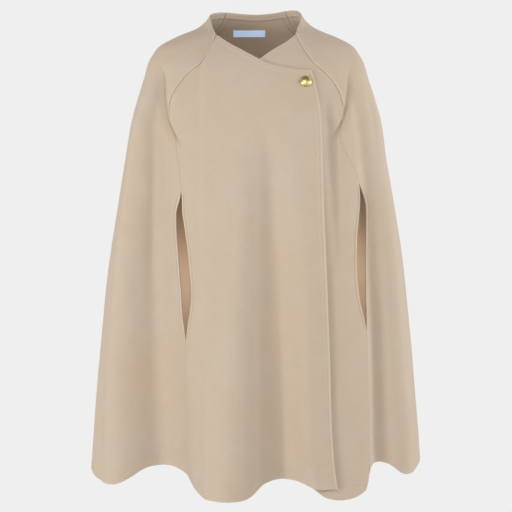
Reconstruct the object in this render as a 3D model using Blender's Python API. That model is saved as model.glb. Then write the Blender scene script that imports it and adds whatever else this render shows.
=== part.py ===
"""Hip-length wool cape with raglan shoulder panels, arm slits and a lapped front.

Metres, +Z up, the front faces -Y, +X is the wearer's left side.
The origin lies between the shoulders, level with the base of the neck.
Directions round the body are angles in degrees: 0 is centre front, 90 the wearer's
left side, 180 centre back, and -90 or 270 the wearer's right side.
"""

import math

import bmesh
import bpy
import numpy as np

# Driving sizes, in metres.
CLOTH = 0.0026            # thickness of the double-faced wool
SEAM_GAP = 0.0005         # clearance between two pieces that are sewn together
LAP = 0.0040              # height of the lapping front over the front below it
TURN_IN_CLEAR = 0.0009    # clearance between a panel and what lies on its inner face
TURN_IN = 0.0016          # thickness of the pressed turn-in round the neck
TURN_IN_DEPTH = 0.0115    # drop of the turn-in below the neckline
TURN_IN_NOTCH = 0.0030    # gap between two turn-ins at a shoulder seam
HEM_LEVEL = -0.83         # mean height of the hem
LABEL_LEFT = -0.0445
LABEL_RIGHT = 0.0180
LABEL_TOP = 0.0020
LABEL_BOTTOM = -0.0105
LABEL_CLOTH = 0.0008
BUTTON_ANGLE = 24.3
BUTTON_HEIGHT = -0.0949
BUTTON_RADIUS = 0.0108
BUTTON_DOME = 0.0050
SHANK_WIDE = 0.0060
SHANK_TALL = 0.0020
BUTTONHOLE_LONG = 0.0220
BUTTONHOLE_TALL = 0.0030

# Body rings: the size of the smooth shape that the folds are laid on.
# height, half width, depth to the front, depth to the back, middle, squareness
RINGS = np.array([
    (0.045, 0.0760, 0.048, 0.056, 0.014, 2.00),
    (0.030, 0.0850, 0.050, 0.060, 0.014, 2.00),
    (0.015, 0.0965, 0.054, 0.067, 0.013, 2.00),
    (0.004, 0.1110, 0.060, 0.074, 0.012, 2.00),
    (-0.011, 0.1460, 0.071, 0.084, 0.011, 2.00),
    (-0.027, 0.1780, 0.082, 0.094, 0.010, 2.00),
    (-0.049, 0.1970, 0.096, 0.107, 0.008, 2.05),
    (-0.095, 0.2130, 0.116, 0.121, 0.004, 2.20),
    (-0.156, 0.2290, 0.134, 0.131, 0.000, 2.35),
    (-0.250, 0.2430, 0.152, 0.139, 0.000, 2.45),
    (-0.400, 0.2650, 0.172, 0.156, 0.000, 2.40),
    (-0.600, 0.2850, 0.190, 0.180, 0.000, 2.35),
    (-0.850, 0.3000, 0.208, 0.205, 0.000, 2.30),
])

# Folds: crests stand out from the rings and valleys lie inside them.
FOLD_START = 0.16          # share of a fold's fall over which it begins softly
# angle where it starts, angle at the hem, height where it starts, depth at the hem,
# growth (the power of the fall that deepens it), spread (the power that turns it)
FOLDS = {
    "centre flank": (0.3, 0.0, -0.16, 0.004, 0.70, 0.50),
    "centre valley": (4.5, 10.5, -0.16, -0.034, 0.68, 0.50),
    "left front rise": (14, 19.0, -0.16, -0.004, 0.85, 0.60),
    "left front edge": (28, 28, -0.16, -0.006, 1.00, 1.00),
    "left front crest": (38, 37, -0.12, -0.006, 0.90, 1.00),
    "left front shoulder": (45, 45, -0.12, -0.013, 0.80, 1.00),
    "left side valley": (52, 53, -0.06, -0.022, 0.60, 1.00),
    "left arm crest": (63, 62.5, -0.05, 0.013, 0.60, 0.80),
    "left outer side": (78, 76, -0.05, 0.013, 1.00, 1.00),
    "left side": (96, 91, -0.05, 0.018, 1.05, 1.00),
    "left blade valley": (112, 118, -0.10, -0.040, 1.10, 1.00),
    "left blade crest": (134, 140, -0.10, 0.030, 1.10, 1.00),
    "left back valley": (152, 158, -0.16, -0.034, 1.10, 1.00),
    "back crest": (178, 183, -0.16, 0.030, 1.10, 1.00),
    "right back valley": (206, 208, -0.14, -0.038, 1.10, 1.00),
    "right blade crest": (228, 229, -0.10, 0.032, 1.10, 1.00),
    "right blade valley": (246, 246, -0.08, -0.042, 1.10, 1.00),
    "right side": (264, 269, -0.05, 0.018, 1.05, 1.00),
    "right outer side": (281, 294, -0.05, 0.018, 0.90, 0.60),
    "right arm crest": (293, 307.5, -0.05, 0.024, 0.55, 0.50),
    "right side valley": (303, 320, -0.06, -0.046, 0.55, 0.60),
    "right front shoulder": (322, 331, -0.12, -0.040, 0.80, 0.60),
    "right front rise": (336, 341, -0.18, 0.006, 0.90, 1.00),
    "right front crest": (356.0, 350.0, -0.16, 0.038, 0.70, 0.50),
}


# Seams and front edges, from the neckline down.
# height, angle
RIGHT_SEAM = np.array([
    (0.000, -37.0), (-0.006, -33.5), (-0.017, -28.7), (-0.031, -26.7),
    (-0.048, -27.7), (-0.063, -30.7), (-0.075, -35.0), (-0.094, -39.1),
    (-0.126, -43.2), (-0.172, -40.9), (-0.198, -37.5), (-0.234, -34.6),
    (-0.290, -32.0), (-0.350, -31.0), (-0.410, -29.2), (-0.470, -27.6),
    (-0.535, -27.2), (-0.600, -26.7), (-0.690, -25.9), (-0.750, -25.4),
    (-0.815, -23.8), (-0.850, -22.6),
])
LEFT_SEAM = np.array([
    (0.000, 37.0), (-0.006, 33.0), (-0.017, 29.6), (-0.028, 28.1),
    (-0.045, 29.1), (-0.064, 32.4), (-0.078, 36.8), (-0.094, 40.3),
    (-0.130, 42.8), (-0.171, 40.3), (-0.198, 38.4), (-0.215, 39.5),
    (-0.235, 42.1), (-0.262, 45.5), (-0.280, 46.9), (-0.310, 48.2),
    (-0.345, 47.4), (-0.398, 45.8), (-0.434, 45.2), (-0.480, 44.9),
    (-0.540, 44.9), (-0.640, 44.5), (-0.720, 44.3), (-0.850, 44.4),
])
RIGHT_BACK_SEAM = np.array([
    (0.040, 226.5), (0.000, 222.0), (-0.030, 217.5), (-0.060, 215.5),
    (-0.100, 217.5), (-0.150, 220.5), (-0.250, 220.0), (-0.850, 217.0),
])
LEFT_BACK_SEAM = np.array([
    (0.040, 133.5), (0.000, 138.0), (-0.030, 142.5), (-0.060, 144.5),
    (-0.100, 142.5), (-0.150, 139.5), (-0.250, 140.0), (-0.850, 143.0),
])
LAP_EDGE = np.array([
    (0.000, 14.0), (-0.030, 19.0), (-0.055, 25.5), (-0.074, 28.1),
    (-0.095, 29.2), (-0.118, 29.5), (-0.188, 28.8), (-0.244, 28.1),
    (-0.304, 27.4), (-0.444, 26.9), (-0.600, 26.9), (-0.728, 27.1),
    (-0.780, 27.7), (-0.828, 28.8), (-0.850, 29.4),
])
UNDER_EDGE = np.array([
    (-0.060, -25.0), (-0.100, -23.5), (-0.144, -21.9), (-0.300, -18.8),
    (-0.480, -16.6), (-0.850, -15.0),
])

# Arm slits: how far each lip stands off the seam line.
# height, lip of the side panel, lip of the front panel, in degrees away from the seam
RIGHT_SLIT = np.array([
    (-0.285, 0.0, 0.0), (-0.302, 0.9, 0.2), (-0.330, 2.8, 0.5), (-0.350, 2.8, 1.5),
    (-0.380, 2.8, 2.1), (-0.425, 2.7, 2.7), (-0.470, 2.4, 2.7), (-0.505, 1.7, 1.8),
    (-0.540, 0.0, 0.0),
])
LEFT_SLIT = np.array([
    (-0.277, 0.0, 0.0), (-0.290, 1.3, 0.7), (-0.309, 2.7, 1.9), (-0.336, 3.3, 3.1),
    (-0.363, 3.1, 3.9), (-0.398, 2.9, 4.1), (-0.434, 2.2, 4.2), (-0.470, 1.6, 3.8),
    (-0.500, 1.0, 2.7), (-0.525, 0.8, 1.1), (-0.548, 0.0, 0.0),
])

# Neckline: angle, height. The right side runs on to the corner of the lapping front.
NECK_RIGHT = np.array([
    (-180.0, 0.0305), (-160.0, 0.0320), (-135.0, 0.0345), (-110.0, 0.0330),
    (-90.0, 0.0290), (-75.0, 0.0235), (-58.0, 0.0135), (-48.0, 0.0060),
    (-39.5, -0.0010), (-33.5, -0.0060), (-27.0, -0.0125), (-17.6, -0.0233),
    (-9.5, -0.0347), (1.0, -0.0526), (6.3, -0.0612), (10.8, -0.0657),
    (16.0, -0.0691), (22.6, -0.0722), (30.0, -0.0745),
])
NECK_LEFT = np.array([
    (-30.0, -0.0745), (-22.6, -0.0722), (-16.0, -0.0691), (-10.8, -0.0657),
    (-6.3, -0.0612), (1.0, -0.0526), (8.9, -0.0359), (15.0, -0.0265),
    (22.1, -0.0175), (33.0, -0.0060), (47.0, 0.0070), (58.0, 0.0150),
    (75.0, 0.0260), (90.0, 0.0330), (110.0, 0.0375), (135.0, 0.0370),
    (160.0, 0.0325), (180.0, 0.0305),
])

# Hem: angle, height. The front below the lap hangs a little lower at its crest.
HEM = np.array([
    (-180.0, -0.832), (-152.0, -0.826), (-131.0, -0.836), (-112.0, -0.828),
    (-92.0, -0.833), (-80.0, -0.840), (-70.0, -0.844), (-60.0, -0.840),
    (-55.0, -0.8375), (-52.0, -0.8355), (-50.0, -0.831), (-48.0, -0.823),
    (-46.0, -0.8135), (-44.5, -0.8085), (-42.0, -0.8065), (-38.0, -0.8055),
    (-33.0, -0.8065), (-28.5, -0.810), (-25.7, -0.814), (-23.0, -0.827),
    (-20.5, -0.836), (-17.5, -0.8405), (-13.0, -0.839), (-9.0, -0.8385),
    (-5.0, -0.8395), (-3.0, -0.838), (-1.5, -0.8345), (0.2, -0.827),
    (1.8, -0.820), (4.0, -0.817), (8.0, -0.8165), (12.0, -0.818),
    (15.5, -0.818), (18.0, -0.821), (20.5, -0.828), (25.0, -0.832),
    (30.0, -0.835),
])
HEM_LEFT = np.array([
    (-20.0, -0.815), (6.0, -0.812), (14.0, -0.815), (18.0, -0.822),
    (20.0, -0.829), (22.0, -0.8375), (24.0, -0.846), (26.5, -0.852),
    (29.5, -0.856), (33.0, -0.8565), (37.5, -0.8535), (40.5, -0.849),
    (42.4, -0.844), (43.5, -0.834), (44.5, -0.8175), (45.7, -0.8075),
    (47.5, -0.8035), (50.5, -0.8028), (54.3, -0.804), (56.5, -0.808),
    (58.2, -0.815), (60.0, -0.8245), (61.8, -0.829), (64.5, -0.831),
    (69.0, -0.833), (76.0, -0.8345), (81.0, -0.832), (86.0, -0.827),
    (100.0, -0.824), (118.0, -0.822), (140.0, -0.834), (158.0, -0.826),
    (180.0, -0.832),
])

# The edge of the lapping front stands off the front below it, and swells beside the edge:
# height, stand-off, height of the swell.
LAP_STAND_OFF = np.array([
    (-0.070, 0.0005, 0.0000), (-0.095, 0.0000, 0.0000), (-0.150, 0.0020, 0.0000),
    (-0.250, 0.0042, 0.0000), (-0.400, 0.0036, 0.0020), (-0.550, 0.0030, 0.0050),
    (-0.700, 0.0028, 0.0064), (-0.850, 0.0030, 0.0070),
])
STAND_OFF_WIDTH = 8.0     # degrees
LAP_RAMP = 5.0            # degrees over which the lapping front rises onto the other
SWELL_INSET = 7.5         # degrees from the edge to the top of the swell
SWELL_WIDTH = 3.6         # degrees

# The mesh: rows down each panel, closer together near the neck.
ROWS = 23
ROW_POWER = 1.6

# Colours of the pieces.
CAMEL = (0.56, 0.44, 0.32, 1.0)
LABEL_BLUE = (0.62, 0.68, 0.78, 1.0)
GILT = (0.83, 0.62, 0.26, 1.0)


def along(value, table, column=1):
    """A smooth curve through the rows of a table, read at the given value."""
    rows = table[np.argsort(table[:, 0])]
    xs, ys = rows[:, 0], rows[:, column]
    slopes = np.gradient(ys, xs)
    value = np.clip(value, xs[0], xs[-1])
    i = np.clip(np.searchsorted(xs, value) - 1, 0, len(xs) - 2)
    step = xs[i + 1] - xs[i]
    t = (value - xs[i]) / step
    start = (2 * t**3 - 3 * t**2 + 1) * ys[i] + (t**3 - 2 * t**2 + t) * step * slopes[i]
    end = (3 * t**2 - 2 * t**3) * ys[i + 1] + (t**3 - t**2) * step * slopes[i + 1]
    return start + end


def fold_depth(angle, height):
    """How far the folds move the cloth out, at an angle in degrees and a height."""
    turn = np.mod(angle, 360.0)
    angles, depths = [], []
    for start_angle, hem_angle, start, depth, growth, spread in FOLDS.values():
        fall = np.clip((start - height) / (start - HEM_LEVEL), 0.0, 1.05)
        angles.append(start_angle + (hem_angle - start_angle) * fall**spread)
        begun = np.clip(fall / FOLD_START, 0.0, 1.0)
        depths.append(depth * fall**growth * begun * (2.0 - begun))
    angles = [a - 360.0 for a in angles[-2:]] + angles + [a + 360.0 for a in angles[:2]]
    depths = depths[-2:] + depths + depths[:2]
    slopes = [(depths[i + 1] - depths[i - 1]) / (angles[i + 1] - angles[i - 1])
              for i in range(1, len(angles) - 1)]
    total = np.zeros(np.broadcast(angle, height).shape)
    for i in range(1, len(angles) - 2):
        gap = angles[i + 1] - angles[i]
        share = (turn - angles[i]) / gap
        t = np.clip(share, 0.0, 1.0)
        here = ((2 * t**3 - 3 * t**2 + 1) * depths[i] + (3 * t**2 - 2 * t**3) * depths[i + 1]
                + gap * ((t**3 - 2 * t**2 + t) * slopes[i - 1] + (t**3 - t**2) * slopes[i]))
        total = np.where((share >= 0.0) & (share < 1.0), here, total)
    return total


def ring_point(angle, height):
    """A point of the smooth ring, in plan."""
    wide, front, back, middle, power = (along(height, RINGS, c) for c in range(1, 6))
    side, ahead = np.sin(np.radians(angle)), np.cos(np.radians(angle))
    reach = (np.abs(side)**power + np.abs(ahead)**power) ** (-1.0 / power)
    depth = np.where(ahead > 0.0, front, back)
    return wide * side * reach, middle - depth * ahead * reach


def cape_point(angle, height):
    """A point of the cape's outer face, with its folds."""
    angle, height = np.broadcast_arrays(np.asarray(angle, float), np.asarray(height, float))
    small = 0.1
    x0, y0 = ring_point(angle - small, height)
    x1, y1 = ring_point(angle + small, height)
    length = np.hypot(x1 - x0, y1 - y0)
    x, y = ring_point(angle, height)
    out = fold_depth(angle, height)
    return np.stack([x + (y1 - y0) / length * out, y - (x1 - x0) / length * out, height], -1)


def cape_normal(angle, height):
    """The direction that points out of the cape."""
    angle, height = np.broadcast_arrays(np.asarray(angle, float), np.asarray(height, float))
    across = cape_point(angle + 0.5, height) - cape_point(angle - 0.5, height)
    up = cape_point(angle, height + 0.004) - cape_point(angle, height - 0.004)
    normal = np.cross(across, up)
    return normal / np.linalg.norm(normal, axis=-1, keepdims=True)


def degrees_of(distance, angle, height):
    """The angle that a distance along the cloth takes up at a point."""
    across = cape_point(angle + 0.5, height) - cape_point(angle - 0.5, height)
    return distance / np.linalg.norm(across, axis=-1)


def seam_edge(seam, side, slit=None, lip=1, turn=0.0):
    """One edge of a panel: the seam line less its clearance, opened along a slit.

    side is +1 for an edge at the greater angle of its panel, -1 for the other.
    The bare line is the seam itself, which both panels share.
    """
    def edge(height, bare=False):
        angle = along(height, seam)
        if bare:
            return angle + turn
        opened = np.clip(along(height, slit, lip), 0.0, None) if slit is not None else 0.0
        return angle + turn - side * (degrees_of(SEAM_GAP / 2, angle, height) + opened)
    return edge


def plain_edge(table):
    return lambda height, bare=False: along(height, table)


def fractions(count_by_part):
    """Column positions that share out each part of a panel evenly."""
    found = [0.0]
    for part, count in enumerate(count_by_part):
        found += [part + (i + 1) / count for i in range(count)]
    return np.array(found)


def lay_out(edges, counts, neck, hem, rows=ROWS, power=ROW_POWER):
    """Angles and heights of a panel's grid, from its edges and its neck and hem lines."""
    where = fractions(counts)

    def angle_at(height, bare=False):
        lines = np.stack([edge(height, bare) for edge in edges])
        low = np.minimum(where.astype(int), len(edges) - 2)
        share = where - low
        columns = np.arange(len(where))
        return lines[low, columns] * (1 - share) + lines[low + 1, columns] * share

    top = np.full(len(where), -0.02)
    bottom = np.full(len(where), HEM_LEVEL)
    for _ in range(60):
        top = 0.5 * top + 0.5 * along(angle_at(top, True), neck)
        bottom = 0.5 * bottom + 0.5 * along(angle_at(bottom, True), hem)
    heights = np.empty((rows + 1, len(where)))
    angles = np.empty_like(heights)
    for row in range(rows + 1):
        share = (row / rows) ** power
        heights[row] = top + (bottom - top) * share
        angles[row] = angle_at(heights[row])
    return angles, heights


def material(name, colour, roughness, metallic=0.0):
    found = bpy.data.materials.new(name)
    found.use_nodes = True
    shader = found.node_tree.nodes["Principled BSDF"]
    shader.inputs["Base Color"].default_value = colour
    shader.inputs["Roughness"].default_value = roughness
    shader.inputs["Metallic"].default_value = metallic
    found.diffuse_color = colour
    return found


def add_object(name, mesh_builder, slot, collection):
    mesh = bpy.data.meshes.new(name)
    mesh_builder.normal_update()
    mesh_builder.to_mesh(mesh)
    mesh_builder.free()
    mesh.materials.append(slot)
    made = bpy.data.objects.new(name, mesh)
    collection.objects.link(made)
    return made


def shell(name, outer, inner, slot, collection):
    """A sheet of cloth between two grids of points, closed round its edge."""
    work = bmesh.new()
    faces_out = [[work.verts.new(point) for point in row] for row in outer]
    faces_in = [[work.verts.new(point) for point in row] for row in inner]
    rows, columns = len(outer), len(outer[0])
    for i in range(rows - 1):
        for j in range(columns - 1):
            a, b = faces_out[i][j], faces_out[i][j + 1]
            c, d = faces_out[i + 1][j + 1], faces_out[i + 1][j]
            work.faces.new((a, d, c, b))
            a, b = faces_in[i][j], faces_in[i][j + 1]
            c, d = faces_in[i + 1][j + 1], faces_in[i + 1][j]
            work.faces.new((a, b, c, d))
    round_out = border(faces_out)
    round_in = border(faces_in)
    for i in range(len(round_out)):
        k = (i + 1) % len(round_out)
        work.faces.new((round_out[i], round_out[k], round_in[k], round_in[i]))
    bmesh.ops.triangulate(work, faces=work.faces[:], quad_method="SHORT_EDGE")
    bmesh.ops.recalc_face_normals(work, faces=work.faces[:])
    return add_object(name, work, slot, collection)


def border(grid):
    """The points round a grid, in order."""
    top = grid[0]
    right = [row[-1] for row in grid[1:]]
    bottom = grid[-1][-2::-1]
    left = [row[0] for row in grid[-2:0:-1]]
    return top + right + bottom + left


def panel(name, edges, counts, neck, hem, slot, collection, raise_cloth=None):
    """A panel of the cape, its outer face on the cape's surface."""
    angles, heights = lay_out(edges, counts, neck, hem)
    normals = cape_normal(angles, heights)
    outer = cape_point(angles, heights)
    if raise_cloth is not None:
        outer = outer + normals * raise_cloth(angles, heights)[..., None]
    inner = outer - normals * CLOTH
    return shell(name, outer.tolist(), inner.tolist(), slot, collection)


def lap_height(angle, height):
    """How far the lapping front stands above the surface of the front below it."""
    under = along(height, UNDER_EDGE)
    rise = np.clip((angle - (under - LAP_RAMP)) / (LAP_RAMP - 1.0), 0.0, 1.0)
    edge = along(height, LAP_EDGE)
    near = np.clip((angle - (edge - STAND_OFF_WIDTH)) / STAND_OFF_WIDTH, 0.0, 1.0)
    ease = rise * rise * (3 - 2 * rise)
    swell = np.exp(-((angle - edge + SWELL_INSET) / SWELL_WIDTH) ** 2)
    return (LAP * ease + along(height, LAP_STAND_OFF) * near * near
            + along(height, LAP_STAND_OFF, 2) * swell)


def turn_in(name, edge_low, edge_high, columns, neck, slot, collection):
    """A strip pressed to the inside of the neckline."""
    angles, heights = lay_out([edge_low, edge_high], [columns], neck, neck, rows=2)
    for row, drop in enumerate((0.0010, 0.5 * TURN_IN_DEPTH, TURN_IN_DEPTH)):
        heights[row] = heights[0] - drop if row else heights[0]
    heights[0] -= 0.0010
    normals = cape_normal(angles, heights)
    face = cape_point(angles, heights)
    outer = face - normals * (CLOTH + TURN_IN_CLEAR)
    inner = outer - normals * TURN_IN
    return shell(name, outer.tolist(), inner.tolist(), slot, collection)


def notched(seam, side, turn=0.0):
    """The end of a turn-in, held clear of the turn-in beyond the seam."""
    def edge(height, bare=False):
        angle = along(height, seam)
        return angle + turn - side * degrees_of(TURN_IN_NOTCH / 2, angle, height)
    return edge


def angle_for_x(x, height):
    """The angle at the back where the cloth crosses a given distance from the middle."""
    low, high = 110.0, 250.0
    for _ in range(50):
        middle = 0.5 * (low + high)
        if cape_point(middle, height)[0] > x:
            low = middle
        else:
            high = middle
    return 0.5 * (low + high)


def build_label(slot, collection):
    """A bare woven tag on the inner face of the back."""
    outer, inner = [], []
    for height in np.linspace(LABEL_TOP, LABEL_BOTTOM, 3):
        row_out, row_in = [], []
        for x in np.linspace(LABEL_RIGHT, LABEL_LEFT, 9):
            angle = angle_for_x(x, height)
            normal = cape_normal(angle, height)
            face = cape_point(angle, height) - normal * (CLOTH + TURN_IN_CLEAR)
            row_out.append(face.tolist())
            row_in.append((face - normal * LABEL_CLOTH).tolist())
        outer.append(row_out)
        inner.append(row_in)
    return shell("label", outer, inner, slot, collection)


def local_frame():
    """The button's place: a point on the front below, and its across, up and out."""
    out = cape_normal(BUTTON_ANGLE, BUTTON_HEIGHT)
    across = np.cross((0.0, 0.0, 1.0), out)
    across /= np.linalg.norm(across)
    up = np.cross(out, across)
    return cape_point(BUTTON_ANGLE, BUTTON_HEIGHT), across, up, out


def placed(points):
    """Points given as across, up and out, moved to the button's place."""
    base, across, up, out = local_frame()
    return [tuple(base + p[0] * across + p[1] * up + p[2] * out) for p in points]


def build_button(slot, collection):
    """A domed shank button over the lapping front, its shank through the buttonhole."""
    seat = LAP + 0.0009
    foot = 0.0005
    dome = [
        (0.0000, seat + BUTTON_DOME),
        (0.0035, seat + BUTTON_DOME * 0.95),
        (0.0066, seat + BUTTON_DOME * 0.80),
        (0.0090, seat + BUTTON_DOME * 0.56),
        (BUTTON_RADIUS, seat + BUTTON_DOME * 0.28),
        (BUTTON_RADIUS, seat + BUTTON_DOME * 0.12),
        (0.0098, seat),
    ]
    work = bmesh.new()
    segments = 24
    crown = work.verts.new(placed([(0.0, 0.0, dome[0][1])])[0])
    rings = []
    for radius, out in dome[1:]:
        points = []
        for k in range(segments):
            turn = 2 * math.pi * k / segments
            points.append((radius * math.cos(turn), radius * math.sin(turn), out))
        rings.append([work.verts.new(p) for p in placed(points)])
    shank = [
        (SHANK_WIDE / 2, SHANK_TALL / 2), (-SHANK_WIDE / 2, SHANK_TALL / 2),
        (-SHANK_WIDE / 2, -SHANK_TALL / 2), (SHANK_WIDE / 2, -SHANK_TALL / 2),
    ]
    for k in range(segments):
        m = (k + 1) % segments
        work.faces.new((crown, rings[0][k], rings[0][m]))
        for upper, lower in zip(rings, rings[1:]):
            work.faces.new((upper[k], lower[k], lower[m], upper[m]))
    neck = [work.verts.new(p) for p in placed([(x, y, seat) for x, y in shank])]
    foot_ring = [work.verts.new(p) for p in placed([(x, y, foot) for x, y in shank])]
    quarter = segments // 4
    for corner in range(4):
        after = (corner + 1) % 4
        start = corner * quarter + quarter // 2
        for step in range(quarter):
            k = (start + step) % segments
            m = (k + 1) % segments
            if step < quarter // 2:
                work.faces.new((rings[-1][k], neck[corner], rings[-1][m]))
            else:
                work.faces.new((rings[-1][k], neck[after], rings[-1][m]))
            if step == quarter // 2:
                work.faces.new((rings[-1][k], neck[corner], neck[after]))
        work.faces.new((neck[corner], foot_ring[corner], foot_ring[after], neck[after]))
    work.faces.new(foot_ring)
    bmesh.ops.triangulate(work, faces=work.faces[:])
    bmesh.ops.recalc_face_normals(work, faces=work.faces[:])
    return add_object("button", work, slot, collection)


def cut_buttonhole(front, slot, cutters):
    """Opens the worked buttonhole through the lapping front."""
    half_long, half_tall = BUTTONHOLE_LONG / 2, BUTTONHOLE_TALL / 2
    shift = 0.004 - half_long + 0.004
    corners = []
    for out in (LAP - CLOTH - 0.003, LAP + 0.004):
        corners += [
            (shift - half_long, -half_tall, out), (shift + half_long, -half_tall, out),
            (shift + half_long, half_tall, out), (shift - half_long, half_tall, out),
        ]
    work = bmesh.new()
    points = [work.verts.new(p) for p in placed(corners)]
    for quad in ((3, 2, 1, 0), (4, 5, 6, 7), (0, 1, 5, 4), (1, 2, 6, 5), (2, 3, 7, 6),
                 (3, 0, 4, 7)):
        work.faces.new([points[i] for i in quad])
    bmesh.ops.recalc_face_normals(work, faces=work.faces[:])
    cutter = add_object("buttonhole_cutter", work, slot, cutters)
    cutter.display_type = "WIRE"
    cutter.hide_render = True
    opening = front.modifiers.new("buttonhole", "BOOLEAN")
    opening.operation = "DIFFERENCE"
    opening.solver = "EXACT"
    opening.object = cutter


def main():
    for old in list(bpy.data.objects):
        bpy.data.objects.remove(old, do_unlink=True)
    scene = bpy.context.scene
    scene.unit_settings.system = "METRIC"
    cape = bpy.data.collections.new("cape")
    cutters = bpy.data.collections.new("cape_cutters")
    scene.collection.children.link(cape)
    scene.collection.children.link(cutters)
    cutters.hide_render = True

    wool = material("camel_wool", CAMEL, 0.9)
    tag = material("label_satin", LABEL_BLUE, 0.55)
    brass = material("gilt_brass", GILT, 0.28, 1.0)

    right_front = panel(
        "right_front",
        [seam_edge(RIGHT_SEAM, -1, RIGHT_SLIT, 2), plain_edge(UNDER_EDGE), plain_edge(LAP_EDGE)],
        [5, 11], NECK_RIGHT, HEM, wool, cape, lap_height,
    )
    panel(
        "left_front",
        [plain_edge(UNDER_EDGE), plain_edge(LAP_EDGE), seam_edge(LEFT_SEAM, 1, LEFT_SLIT, 2)],
        [11, 5], NECK_LEFT, HEM_LEFT, wool, cape,
    )
    panel(
        "right_side",
        [seam_edge(RIGHT_BACK_SEAM, -1, turn=-360.0), seam_edge(RIGHT_SEAM, 1, RIGHT_SLIT, 1)],
        [20], NECK_RIGHT, HEM, wool, cape,
    )
    panel(
        "left_side",
        [seam_edge(LEFT_SEAM, -1, LEFT_SLIT, 1), seam_edge(LEFT_BACK_SEAM, 1)],
        [20], NECK_LEFT, HEM_LEFT, wool, cape,
    )
    wrap = np.array([(360.0, 0.0)])
    neck_back = np.vstack([NECK_LEFT[NECK_LEFT[:, 0] > 100], NECK_RIGHT[1:5] + wrap])
    hem_back = np.vstack([HEM_LEFT[HEM_LEFT[:, 0] > 100], HEM[1:5] + wrap])
    panel(
        "back",
        [seam_edge(LEFT_BACK_SEAM, -1), seam_edge(RIGHT_BACK_SEAM, 1)],
        [15], neck_back, hem_back, wool, cape,
    )
    turn_in(
        "back_neck_turn_in", notched(LEFT_BACK_SEAM, -1), notched(RIGHT_BACK_SEAM, 1),
        9, neck_back, wool, cape,
    )
    turn_in(
        "left_neck_turn_in", notched(LEFT_SEAM, -1), notched(LEFT_BACK_SEAM, 1),
        9, NECK_LEFT, wool, cape,
    )
    turn_in(
        "right_neck_turn_in", notched(RIGHT_BACK_SEAM, -1, -360.0), notched(RIGHT_SEAM, 1),
        9, NECK_RIGHT, wool, cape,
    )
    build_label(tag, cape)
    build_button(brass, cape)
    cut_buttonhole(right_front, wool, cutters)


main()
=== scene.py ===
import math

import bmesh
import bpy
import numpy as np
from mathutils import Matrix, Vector, kdtree
from numpy.linalg import norm


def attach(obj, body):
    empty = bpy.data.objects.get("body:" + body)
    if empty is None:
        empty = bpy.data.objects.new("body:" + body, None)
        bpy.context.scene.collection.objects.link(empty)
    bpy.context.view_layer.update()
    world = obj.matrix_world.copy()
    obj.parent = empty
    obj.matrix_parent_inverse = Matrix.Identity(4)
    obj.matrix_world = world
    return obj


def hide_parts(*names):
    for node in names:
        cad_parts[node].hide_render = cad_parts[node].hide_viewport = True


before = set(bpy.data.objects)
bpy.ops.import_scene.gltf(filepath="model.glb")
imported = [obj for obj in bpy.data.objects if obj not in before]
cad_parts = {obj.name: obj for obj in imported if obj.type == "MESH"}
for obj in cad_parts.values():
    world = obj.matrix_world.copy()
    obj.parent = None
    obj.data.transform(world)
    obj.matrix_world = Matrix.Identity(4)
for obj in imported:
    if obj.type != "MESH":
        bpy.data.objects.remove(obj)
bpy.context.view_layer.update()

# Metres, +Z up, the front faces -Y, +X is the wearer's left side.
# Directions round the body are angles in degrees: 0 is centre front, 90 the wearer's
# left side, 180 centre back, and -90 or 270 the wearer's right side.

MM = 0.001
CLOTH = 2.6 * MM
LAP = 4.0 * MM
HEM_LEVEL = -0.83
TURN_IN_DEPTH = 11.5 * MM
TURN_IN_NOTCH = 3.0 * MM
LABEL_LEFT, LABEL_RIGHT = -0.0445, 0.0180
LABEL_TOP, LABEL_BOTTOM = 0.0020, -0.0105
BUTTON_ANGLE, BUTTON_HEIGHT = 24.3, -0.0949
BUTTON_RADIUS, BUTTON_DOME = 10.8 * MM, 5.0 * MM

# height, half width, depth to the front, depth to the back, middle, squareness
RINGS = np.array([
    (0.045, 0.0760, 0.048, 0.056, 0.014, 2.00),
    (0.030, 0.0850, 0.050, 0.060, 0.014, 2.00),
    (0.015, 0.0965, 0.054, 0.067, 0.013, 2.00),
    (0.004, 0.1110, 0.060, 0.074, 0.012, 2.00),
    (-0.011, 0.1460, 0.071, 0.084, 0.011, 2.00),
    (-0.027, 0.1780, 0.082, 0.094, 0.010, 2.00),
    (-0.049, 0.1970, 0.096, 0.107, 0.008, 2.05),
    (-0.095, 0.2130, 0.116, 0.121, 0.004, 2.20),
    (-0.156, 0.2290, 0.134, 0.131, 0.000, 2.35),
    (-0.250, 0.2430, 0.152, 0.139, 0.000, 2.45),
    (-0.400, 0.2650, 0.172, 0.156, 0.000, 2.40),
    (-0.600, 0.2850, 0.190, 0.180, 0.000, 2.35),
    (-0.850, 0.3000, 0.208, 0.205, 0.000, 2.30),
])

# Crests stand out from the rings and valleys lie inside them.
FOLD_START = 0.16          # share of a fold's fall over which it begins softly
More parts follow.
